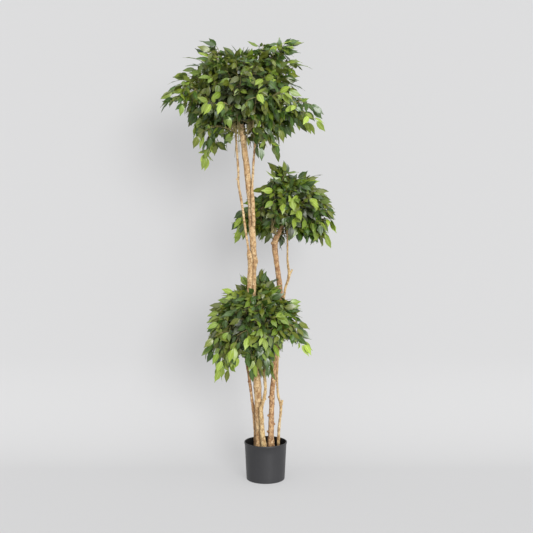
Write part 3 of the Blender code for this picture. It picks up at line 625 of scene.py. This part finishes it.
# Each head: the stem that carries it, the height where its boughs are tied in and how far out and up they
# go, the middle and half-sizes of its rounded body, the lowest and highest angle of its twigs, its sectors,
# its crown stem as (foot, length, twigs, lowest and highest angle), and the views that stay open as (left,
# right, bottom, top, how far back). Its tufts are (angle in the front view from the right round over the
# top, spread to both sides, reach, sprays, share of young ones), with the least and greatest depth of their
# tips below and above the middle. Its front sprays are (angle, reach, 1 for young), and its back sprays
# are the places that they reach
heads = {
    "topHead": {
        "node": "top_head", "masses": ["right", "back", "left", "front", "crown"],
        "carrier": "mainTrunk", "collar": 1.436, "seed": 11, "hub": (0.085, 0.07),
        "middle": (-0.09, -0.03, 1.575), "half": (0.24, 0.24), "up": 0.185, "down": 0.185, "boxy": 0.8,
        "lowest": -50, "highest": 62, "twigs": 56, "leaf": 0.73, "depths": ((-0.06, 0.1), (-0.06, 0.06)),
        "first": 10, "sectors": 4, "crown": (1.456, 0.23, 16, 38, 84),
        "open": [(-0.135, -0.045, 1.2, 1.455, 0.03), (-0.005, 0.03, 1.27, 1.385, 0.5),
                 (-0.255, -0.225, 1.395, 1.42, 0.5), (-0.205, -0.165, 1.27, 1.365, 0.5)],
        "tufts": [
            (6, 15, 0.25, 7, 0), (27, 3, 0.29, 2, 0), (42, 5, 0.31, 4, 0.3), (60, 6, 0.27, 3, 0),
            (92, 15, 0.2, 3, 0), (113, 6, 0.21, 3, 0), (130, 5, 0.27, 4, 0.2), (140, 4, 0.24, 2, 1),
            (155, 8, 0.27, 4, 0), (170, 6, 0.3, 4, 0), (184, 6, 0.33, 5, 0.4), (202, 10, 0.25, 5, 0.3),
            (220, 4, 0.28, 3, 1), (233, 7, 0.29, 4, 0.3), (240, 2, 0.35, 2, 1), (250, 4, 0.21, 2, 1),
            (265, 3, 0.31, 2, 0), (280, 8, 0.28, 5, 0), (297, 5, 0.3, 5, 0.6), (315, 10, 0.26, 5, 0),
            (334, 2, 0.36, 2, 1), (336, 5, 0.28, 3, 0.5), (344, 5, 0.33, 4, 0)],
        "front": [
            (226, 0.13, 1), (328, 0.09, 1), (65, 0.09, 1), (18, 0.12, 1), (208, 0.18, 1), (350, 0.2, 1)],
        "back": [
            (-0.06, 0.275, 1.38), (0.06, 0.22, 1.44), (-0.22, 0.25, 1.48), (-0.32, 0.16, 1.52),
            (0.1, 0.19, 1.62)]},
    "middleHead": {
        "node": "middle_head", "masses": ["right", "back", "left", "crown"],
        "carrier": "secondTrunk", "collar": 1.03, "seed": 23, "hub": (0.085, 0.03),
        "middle": (0.1, 0.085, 1.125), "half": (0.17, 0.185), "up": 0.15, "down": 0.125, "boxy": 0.9,
        "lowest": -42, "highest": 62, "twigs": 46, "leaf": 0.77, "depths": ((-0.06, 0.06), (-0.06, 0.06)),
        "first": -20, "sectors": 3, "crown": (1.048, 0.15, 18, 24, 84),
        "open": [(0.015, 0.085, 0.9, 1.035, 0.06), (-0.048, -0.004, 1.21, 1.4, 0.5)],
        "tufts": [
            (5, 8, 0.18, 3, 0), (20, 5, 0.17, 2, 0), (47, 6, 0.17, 3, 0.4), (63, 6, 0.16, 2, 0),
            (104, 5, 0.19, 3, 0), (116, 3, 0.21, 2, 0), (128, 4, 0.19, 3, 1), (154, 3, 0.17, 2, 0),
            (178, 8, 0.19, 3, 0), (194, 6, 0.23, 4, 0), (204, 6, 0.26, 4, 0.5), (212, 3, 0.28, 2, 1),
            (226, 6, 0.19, 4, 0.5), (257, 4, 0.19, 2, 0.4), (292, 8, 0.14, 2, 0), (302, 6, 0.18, 3, 0),
            (315, 3, 0.24, 3, 0.7), (326, 5, 0.2, 3, 0), (333, 3, 0.23, 2, 1), (346, 6, 0.2, 3, 0)],
        "front": [(195, 0.04, 1), (90, 0.03, 1), (10, 0.11, 1), (280, 0.09, 1), (308, 0.06, 1)],
        "back": [(0.1, 0.285, 1.01), (0.22, 0.22, 1.06), (-0.03, 0.22, 1.08), (0.12, 0.25, 1.18)]},
    "bottomHead": {
        "node": "bottom_head", "masses": ["right", "back", "left", "front"],
        "carrier": "mainTrunk", "collar": 0.63, "seed": 37, "hub": (0.085, 0.02),
        "middle": (-0.04, -0.015, 0.645), "half": (0.19, 0.19), "up": 0.155, "down": 0.135, "boxy": 0.8,
        "lowest": -60, "highest": 78, "twigs": 52, "leaf": 0.79, "depths": ((-0.12, 0.03), (0, 0.07)),
        "first": 0, "sectors": 4, "crown": None,
        "open": [(-0.078, -0.028, 0.825, 0.9, 0.03), (-0.114, -0.08, 0.4, 0.52, 0.5)],
        "tufts": [
            (6, 10, 0.2, 4, 0), (22, 6, 0.21, 4, 0.2), (34, 5, 0.19, 2, 0), (52, 8, 0.18, 3, 0),
            (70, 6, 0.2, 4, 0.3), (83, 5, 0.23, 5, 0.3), (107, 3, 0.22, 3, 0.5), (115, 6, 0.18, 3, 0),
            (134, 6, 0.2, 3, 0.6), (146, 6, 0.19, 3, 0), (163, 8, 0.21, 4, 0.2), (178, 6, 0.21, 4, 0),
            (192, 6, 0.21, 3, 0.3), (203, 5, 0.22, 3, 0.6), (214, 5, 0.26, 4, 0.2), (225, 5, 0.25, 4, 0.3),
            (234, 3, 0.28, 3, 1), (243, 3, 0.21, 3, 0.6), (268, 4, 0.22, 3, 0.7), (286, 5, 0.23, 4, 0),
            (275, 14, 0.18, 5, 0), (313, 8, 0.15, 2, 0), (334, 2, 0.25, 2, 1), (348, 6, 0.22, 4, 0)],
        "front": [
            (90, 0.03, 1), (104, 0.08, 1), (18, 0.12, 1), (241, 0.08, 1), (300, 0.09, 1), (230, 0.17, 1),
            (269, 0.2, 1), (112, 0.15, 0), (96, 0.16, 0), (82, 0.16, 0), (70, 0.14, 0)],
        "back": [(-0.02, 0.15, 0.47), (0.1, 0.15, 0.6), (-0.16, 0.15, 0.58), (-0.03, 0.18, 0.7)]},
}


def arc(start, end, lift, count):
    # points on an arched twig, lifted at its middle by a share of its length
    middle = (start + end) / 2 + Vector((0, 0, lift * (end - start).length))
    steps = [k / (count - 1) for k in range(count)]
    return [start * (1 - t)**2 + middle * 2 * t * (1 - t) + end * t**2 for t in steps]


def taper(first, last, count):
    return [first + (last - first) * k / (count - 1) for k in range(count)]


def alongPath(points, fraction):
    # place and direction at a fraction of a path's points
    position = fraction * (len(points) - 1)
    k = min(int(position), len(points) - 2)
    return points[k].lerp(points[k + 1], position - k), (points[k + 1] - points[k]).normalized()


def pathLength(points):
    return sum((b - a).length for a, b in zip(points, points[1:]))


def squared(vector, axis):
    # the part of a vector square to an axis, as a unit vector
    return (vector - axis * vector.dot(axis)).normalized()


def outline(spec, azimuth, rise, share):
    # a place on a head's rounded body, at an azimuth and the sine of an elevation, times a share
    level = (1 - rise * rise) ** (spec["boxy"] / 2)
    across, deep = spec["half"]
    height = spec["up"] if rise > 0 else spec["down"]
    offset = Vector((across * level * cos(azimuth), deep * level * sin(azimuth),
                     height * copysign(abs(rise) ** spec["boxy"], rise)))
    return Vector(spec["middle"]) + offset * share


def inStem(point, clear):
    # whether a point lies in a stem, or nearer to it than the clearance
    return any(path.gap(point) < clear for path in paths.values())


class Head:
    # everything that grows in one head: its twigs as paths and its leaves by tone
    def __init__(self, spec):
        self.spec = spec
        self.middle = Vector(spec["middle"])
        self.dice = random.Random(spec["seed"])
        self.draw = self.dice.uniform
        self.twigs = []
        self.leaves = {tone: [] for tone in leafTones}
        proud = twig["proud"]                    # fabric may stand a little proud of the solids' box
        self.low = Vector(cadBox[0]) - Vector((proud, proud, 0))
        self.high = Vector(cadBox[1]) + Vector((proud, proud, twig["clear"]))

    def lowness(self, place):
        # 0 in the upper part of the head, 1 at its bottom
        top = self.middle.z + 0.55 * self.spec["up"]
        return max(0, min(1, (top - place.z) / (top - self.middle.z + self.spec["down"])))

    def mayHold(self, points):
        for point in points:
            if any(not self.low[k] < point[k] < self.high[k] for k in range(3)):
                return False
            if inStem(point, twig["leafClear"]):
                return False
            for left, right, bottom, top, back in self.spec["open"]:
                if left < point.x < right and bottom < point.z < top and point.y < back:
                    return False
        return True

    def outness(self, place):
        # 0 at the head's middle, 1 on its rounded body and beyond
        spoke = place - self.middle
        across, deep = self.spec["half"]
        aside = hypot(spoke.x / across, spoke.y / deep)
        rise = abs(spoke.z) / (self.spec["up"] if spoke.z > 0 else self.spec["down"])
        power = 2 / self.spec["boxy"]
        return min(1, (aside ** power + rise ** power) ** (1 / power))

    def addLeaf(self, root, direction, normal, side, tone, size, tipWay=None):
        # a leaf that leaves its twig to one side, lies out flat or hangs and shows its face outwards
        outward = (root - self.middle).normalized()
        low = self.lowness(root)
        onward = Vector((direction.x, direction.y, min(direction.z, direction.z * 0.5)))
        behind = copysign(0.5, root.y - self.middle.y - 0.06)
        for attempt in range(pose["tries"]):
            spin = Vector([self.dice.gauss(0, 1) for _ in range(3)])
            across = normal.cross(direction) * side * self.draw(*pose["across"])
            across.z *= 0.7
            hang = Vector((0, 0, -self.draw(*pose["hang"]) - pose["lowHang"] * low))
            ahead = onward * self.draw(*pose["onward"])
            along = (ahead + across + hang + spin * pose["wild"]).normalized()
            if tipWay and attempt < 4:
                along = (tipWay + spin * 0.04 * attempt).normalized()
            facing = normal * 0.3 + outward * 0.35 + Vector((0, behind, 0.24)) + spin.yzx * 0.44
            face = squared(facing, along)
            tip = along * size * leafLength
            if self.mayHold([root + tip * share for share in (0.35, 0.7, 1.0)]):
                break
        else:
            return
        turned = Matrix((along.cross(face), along, face)).transposed().to_4x4()
        width = size * self.draw(*pose["width"])
        matrix = Matrix.Translation(root) @ turned @ Matrix.Diagonal((width, size, size, 1))
        # painted shade: a leaf's random tone is darkened the nearer it sits to the head's middle, where
        # shade falls
        shade = self.draw(*pose["shade"]) * (0.62 + 0.45 * self.outness(root))
        self.leaves[tone].append((self.dice.randrange(len(leafShapes)), matrix, shade))

    def leafOut(self, points, first, base, fresh, tipWay=None):
        # leaves set alternately along a twig and one at its tip, the youngest in the freshest green
        length = pathLength(points)
        count = max(2, round(length * (1 - first) / twig["leafSpacing"]))
        lean = Vector([self.dice.gauss(0, 1) for _ in range(3)])
        for k in range(count + 1):
            fraction = min(1, (k + 0.5) / count)
            root, direction = alongPath(points, first + (1 - first) * fraction)
            if self.outness(root) < twig["bareCore"]:
                continue
            outward = (root - self.middle).normalized()
            facing = Vector((0, copysign(0.3, root.y - self.middle.y), 0.6))
            normal = squared(facing + outward * 0.45 + lean * 0.5, direction)
            tone = base
            if fresh and fraction > twig["youngFrom"]:
                tone = "fresh"
            # painted shade: leaves near the head's middle take the darker inner tone
            elif self.outness(root) < twig["paintedShadeCore"]:
                tone = "inner"
            elif self.dice.random() < twig["strayTone"]:
                tone = self.dice.choice(greens)
            size = self.spec["leaf"] * self.draw(*pose["size"])
            if tone == "fresh":
                size += twig["youngExtra"]
            if k < count:
                self.addLeaf(root, direction, normal, 1 - 2 * (k % 2), tone, size)
            else:
                self.addLeaf(root, direction, normal, 0, tone, twig["tipLeaf"] if tipWay else size, tipWay)

    def addTwig(self, points, radii):
        kept = 1
        while kept < len(points) and not inStem(points[kept], twig["clear"]):
            kept += 1
        if kept < 3:
            return []
        self.twigs.append((points[:kept], radii[:kept]))
        return points[:kept]

    def drawTone(self):
        return self.dice.choices(greens, twig["toneShares"])[0]

    def addShoots(self, points):
        # side shoots on both sides of a twig, shorter towards its tip
        count = round(pathLength(points) * 0.6 / twig["shootSpacing"])
        for k in range(count):
            fraction = 0.18 + 0.6 * (k + self.draw(0.2, 0.8)) / max(count, 1)
            root, direction = alongPath(points, fraction)
            side = direction.cross(Vector((0, 0, 1))).normalized() * (1 - 2 * (k % 2))
            rise = Vector((0, 0, self.draw(-0.5, 0.8)))
            along = (direction * 0.35 + side * self.draw(0.5, 1.1) + rise).normalized()
            reach = self.draw(*twig["shootReach"]) * (1.2 - 0.7 * fraction)
            end = root + along * reach - Vector((0, 0, reach * 0.2))
            shoot = self.addTwig(arc(root, end, 0.1, 4), taper(twig["shootRadius"], twig["tipRadius"], 4))
            if shoot:
                tone = self.drawTone()
                self.leafOut(shoot, 0.25, tone, self.dice.random() < 0.02 + 0.07 * self.lowness(end))

    def addSpray(self, start, reach, fresh=None):
        # a twig that arches over and whose last leaf ends at its reach
        low = self.lowness(reach)
        tipWay = (reach - self.middle).normalized()
        tipWay.z = min(tipWay.z, tipWay.z * 0.55) - 0.12 - 0.65 * low
        tipWay.normalize()
        end = reach - tipWay * twig["tipLeaf"] * leafLength
        climb = max(0, (end - start).normalized().z)
        lift = twig["lift"] * (1 - climb) + twig["climbLift"] * climb ** 2
        path = self.addTwig(arc(start, end, lift, 8), taper(twig["radius"], twig["tipRadius"], 8))
        if path:
            drawn = self.dice.random() < 0.02 + 0.1 * low
            if fresh is None:
                fresh = drawn
            self.leafOut(path, twig["bareShare"], self.drawTone(), fresh, tipWay)
            self.addShoots(path)


def placeReaches(grown, spec):
    # where a head's sprays reach: evenly by the golden angle, then its tufts, front and back sprays
    lowest, highest = (sin(radians(spec[end])) for end in ("lowest", "highest"))
    reaches = []
    for k in range(spec["twigs"]):
        rise = lowest + (highest - lowest) * (k + 0.5) / spec["twigs"]
        reaches.append((outline(spec, k * goldenAngle, rise, grown.draw(0.7, 1.0)), None))
    for turnTo, spread, reach, count, young in spec["tufts"]:
        for k in range(count):
            angle = radians(turnTo + spread * (2 * (k + 0.5) / count - 1))
            toRight, toTop = cos(angle), sin(angle)
            far = reach * grown.draw(*twig["tuftShares"])
            depth = grown.draw(*spec["depths"][toTop > 0])
            place = grown.middle + Vector((far * toRight, depth, far * toTop))
            inward = (grown.middle - place).normalized() * grown.draw(0.2, 0.9)
            aside = Vector([grown.draw(-0.8, 0.8) for _ in range(3)])
            reaches.append((place, grown.dice.random() < young))
            if grown.dice.random() < twig["sisterShare"]:
                reaches.append((place + (inward + aside) * twig["sisterReach"], None))
    for turnTo, reach, young in spec["front"]:
        angle = radians(turnTo)
        forward = spec["half"][1] * sqrt(1 - (twig["frontFlat"] * reach / spec["half"][0])**2)
        place = grown.middle + Vector((reach * cos(angle), -forward, reach * sin(angle)))
        reaches.append((place, young == 1))
    return reaches + [(Vector(place), False) for place in spec["back"]]


def growBoughs(grown, spec, carrier):
    # two boughs to a sector, one above the other, each with its azimuth
    boughs = []
    for k in range(2 * spec["sectors"]):
        azimuth = radians(spec["first"]) + (k - 0.5) * pi / spec["sectors"]
        outward = heading(azimuth, 0)
        pith, girth = carrier.at(spec["collar"] - 0.018 * (k % 2))
        root = pith + outward * girth * 0.6
        hub = root + outward * spec["hub"][0] + Vector((0, 0, spec["hub"][1] * (1 - 0.7 * (k % 2))))
        bough = [root, root + outward * 0.01] + arc(root + outward * 0.022, hub, 0.12, 5)
        grown.twigs.append((bough, taper(twig["boughRadius"], twig["radius"], 7)))
        # painted shade: the boughs' leaves start in the darker inner tone, as they sit deep in the head
        grown.leafOut(bough[2:], 0.2, "inner", False)
        boughs.append((azimuth, bough))
    return boughs


def growCrown(grown, spec, carrier):
    # an upright stem from the carrier's tip with twigs all round it
    foot, length, count, lowest, highest = spec["crown"]
    tip, _ = carrier.at(foot)
    stem = [tip + Vector((0, 0, length * k / 4)) for k in range(5)]
    grown.twigs.append((stem, taper(twig["boughRadius"], twig["radius"], 5)))
    for k in range(count):
        share = (k + 0.5) / count
        start, _ = alongPath(stem, 0.45 + 0.5 * share)
        rise = sin(radians(lowest + (highest - lowest) * share))
        grown.addSpray(start, outline(spec, k * goldenAngle, rise, grown.draw(0.86, 1)))


def growHead(spec):
    grown = Head(spec)
    carrier = paths[spec["carrier"]]
    axis, _ = carrier.at(spec["collar"])
    reaches = placeReaches(grown, spec)
    boughs = growBoughs(grown, spec, carrier)
    for reach, young in reaches:
        spoke = reach - axis
        turnTo = atan2(spoke.y, spoke.x)
        _, bough = min(boughs, key=lambda pair: abs(remainder(pair[0] - turnTo, 2 * pi)))
        high = reach.z > spec["middle"][2] + spec["up"] / 2
        start, _ = alongPath(bough, grown.draw(*((0.3, 0.7) if high else (0.4, 0.98))))
        grown.addSpray(start, reach, young)
    if spec["crown"]:
        growCrown(grown, spec, carrier)
    return grown


def twigPiece(name, twigs, finish):
    # all of a head's twigs as one curve with a round section, made a mesh
    curve = bpy.data.curves.new(name + "Line", "CURVE")
    curve.dimensions = "3D"
    curve.bevel_depth = 1
    curve.bevel_resolution = 1
    curve.use_fill_caps = True
    for points, radii in twigs:
        line = curve.splines.new("POLY")
        line.points.add(len(points) - 1)
        line.points.foreach_set("co", [value for point in points for value in (*point, 1)])
        line.points.foreach_set("radius", radii)
    drawn = bpy.data.objects.new(name + "Line", curve)
    scene.collection.objects.link(drawn)
    mesh = bpy.data.meshes.new_from_object(drawn.evaluated_get(bpy.context.evaluated_depsgraph_get()))
    bpy.data.objects.remove(drawn)
    bm = bmesh.new()
    bm.from_mesh(mesh)
    bpy.data.meshes.remove(mesh)
    bmesh.ops.remove_doubles(bm, verts=bm.verts, dist=1e-6)
    return meshPiece(name, bm, finish, sharp=60)


def twigFinish():
    made = Finish("oliveTwig", 0.6, Specular_IOR_Level=0.35)
    patches = made.grain(made.place(), 30, 4)
    fine = made.grain(made.place((1, 1, 0.5)), 700, 3)
    colour = made.tint(made.step(patches, 0.35, 0.65), paint(108, 96, 60), paint(160, 150, 98))
    colour = made.tint(made.step(fine, 0.5, 0.8) * 0.4, colour, paint(84, 66, 42))
    made.wear(Base_Color=colour)
    made.relief(fine, 0.0004)
    return made


def makeHead(name, spec, templates, leafFinishes, finish):
    grown = growHead(spec)
    nodes = [f"{spec['node']}_{mass}" for mass in spec["masses"]]
    twigs = twigPiece(name + "Twigs", grown.twigs, finish)
    settle(twigs, "leaves", *nodes)
    for tone, leaves in grown.leaves.items():
        piece = joinLeaves(f"{name}{tone.capitalize()}Leaves", leaves, templates, leafFinishes[tone])
        settle(piece, "leaves", *nodes)
    print(f"{name}: {len(grown.twigs)} twigs, {sum(map(len, grown.leaves.values()))} leaves")


# ---- floor, light and camera

studio = {"width": 40, "front": -12, "wall": 0.56, "cove": 0.42, "height": 12, "paper": (128, 128, 128),
          "glowColour": (170, 170, 171), "airColour": (255, 255, 255), "air": 0.46}
# each lamp's turn from the front, height and angular size in degrees, and its strength
lamps = {"keyLight": (21, 15, 26, 2.6), "topLight": (10, 72, 70, 1.6)}
lens = {"place": (0.0037, -3.9, 1.193), "down": 4.56, "focal": 64.84, "sensor": 36}


def makeBackdrop():
    # a sheet of paper that runs along the floor and curves up into a wall
    bm = bmesh.new()
    cove, wall = studio["cove"], studio["wall"]
    bend = [(wall - cove + cove * sin(radians(a)), cove - cove * cos(radians(a))) for a in range(0, 91, 6)]
    profile = [(studio["front"], 0)] + bend + [(wall, studio["height"])]
    verts = [bm.verts.new((-studio["width"] / 2, y, z)) for y, z in profile]
    edges = [bm.edges.new(pair) for pair in zip(verts, verts[1:])]
    swept = bmesh.ops.extrude_edge_only(bm, edges=edges)
    moved = [item for item in swept["geom"] if isinstance(item, bmesh.types.BMVert)]
    bmesh.ops.translate(bm, verts=moved, vec=(studio["width"], 0, 0))
    finish = Finish("palePaper", 0.85, Specular_IOR_Level=0.1, Emission_Strength=1)
    behind = finish.node("NewGeometry", {}, {}, "Backfacing")
    # the glow stands for the lamps that light the paper, and from behind the paper can be seen through
    finish.wear(Base_Color=paint(*studio["paper"]), Emission_Color=paint(*studio["glowColour"]),
                Alpha=1 - behind)
    bmesh.ops.recalc_face_normals(bm, faces=bm.faces)
    if sum(face.normal.z for face in bm.faces) < 0:
        bmesh.ops.reverse_faces(bm, faces=bm.faces)
    meshPiece("studioPaper", bm, finish)


def makeSun(name, turnTo, height, angle, strength):
    light = bpy.data.lights.new(name, "SUN")
    light.energy = strength
    light.angle = radians(angle)
    lamp = bpy.data.objects.new(name, light)
    towards = heading(radians(turnTo - 90), radians(height))
    lamp.rotation_mode = "QUATERNION"
    lamp.rotation_quaternion = towards.to_track_quat("Z", "Y")
    scene.collection.objects.link(lamp)


def makeLights():
    world = bpy.data.worlds.new("studioAir")
    world.use_nodes = True
    background = world.node_tree.nodes["Background"]
    background.inputs["Color"].default_value = paint(*studio["airColour"])
    background.inputs["Strength"].default_value = studio["air"]
    scene.world = world
    for name, lamp in lamps.items():
        makeSun(name, *lamp)


def makeCamera():
    data = bpy.data.cameras.new("studioCamera")
    data.lens = lens["focal"]
    data.sensor_width = lens["sensor"]
    camera = bpy.data.objects.new("studioCamera", data)
    camera.location = lens["place"]
    camera.rotation_euler = (radians(90 - lens["down"]), 0, 0)
    scene.collection.objects.link(camera)
    scene.camera = camera


def main():
    scene.view_settings.view_transform = "Standard"
    makeCamera()
    makeBackdrop()
    makeLights()
    print("stage ready")
    outside = plasticFinish("darkPlastic", (41, 41, 43), (55, 55, 57))
    # painted shade: the same plastic made darker for the inside of the pot, where shade falls
    paintedShadeInside = plasticFinish("innerPaintedShadePlastic", (22, 22, 22), (30, 30, 30))
    settle(makePot(outside, paintedShadeInside), "pot", "pot")
    settle(makeCement(cementFinish()), "cement", "pot_filling")
    print("pot and cement done")
    for name, spec in stems.items():
        stem = makeStem(name, spec, barkFinish(name + "Bark", *barkTones[spec["tones"]]))
        print(f"{name}: {len(stem.data.polygons)} faces")
    templates = [leafTemplate(shape) for shape in leafShapes]
    leafFinishes = {tone: [leafFinish(tone, part) for part in leafParts] for tone in leafTones}
    brownTwig = twigFinish()
    for name, spec in heads.items():
        makeHead(name, spec, templates, leafFinishes, brownTwig)


main()
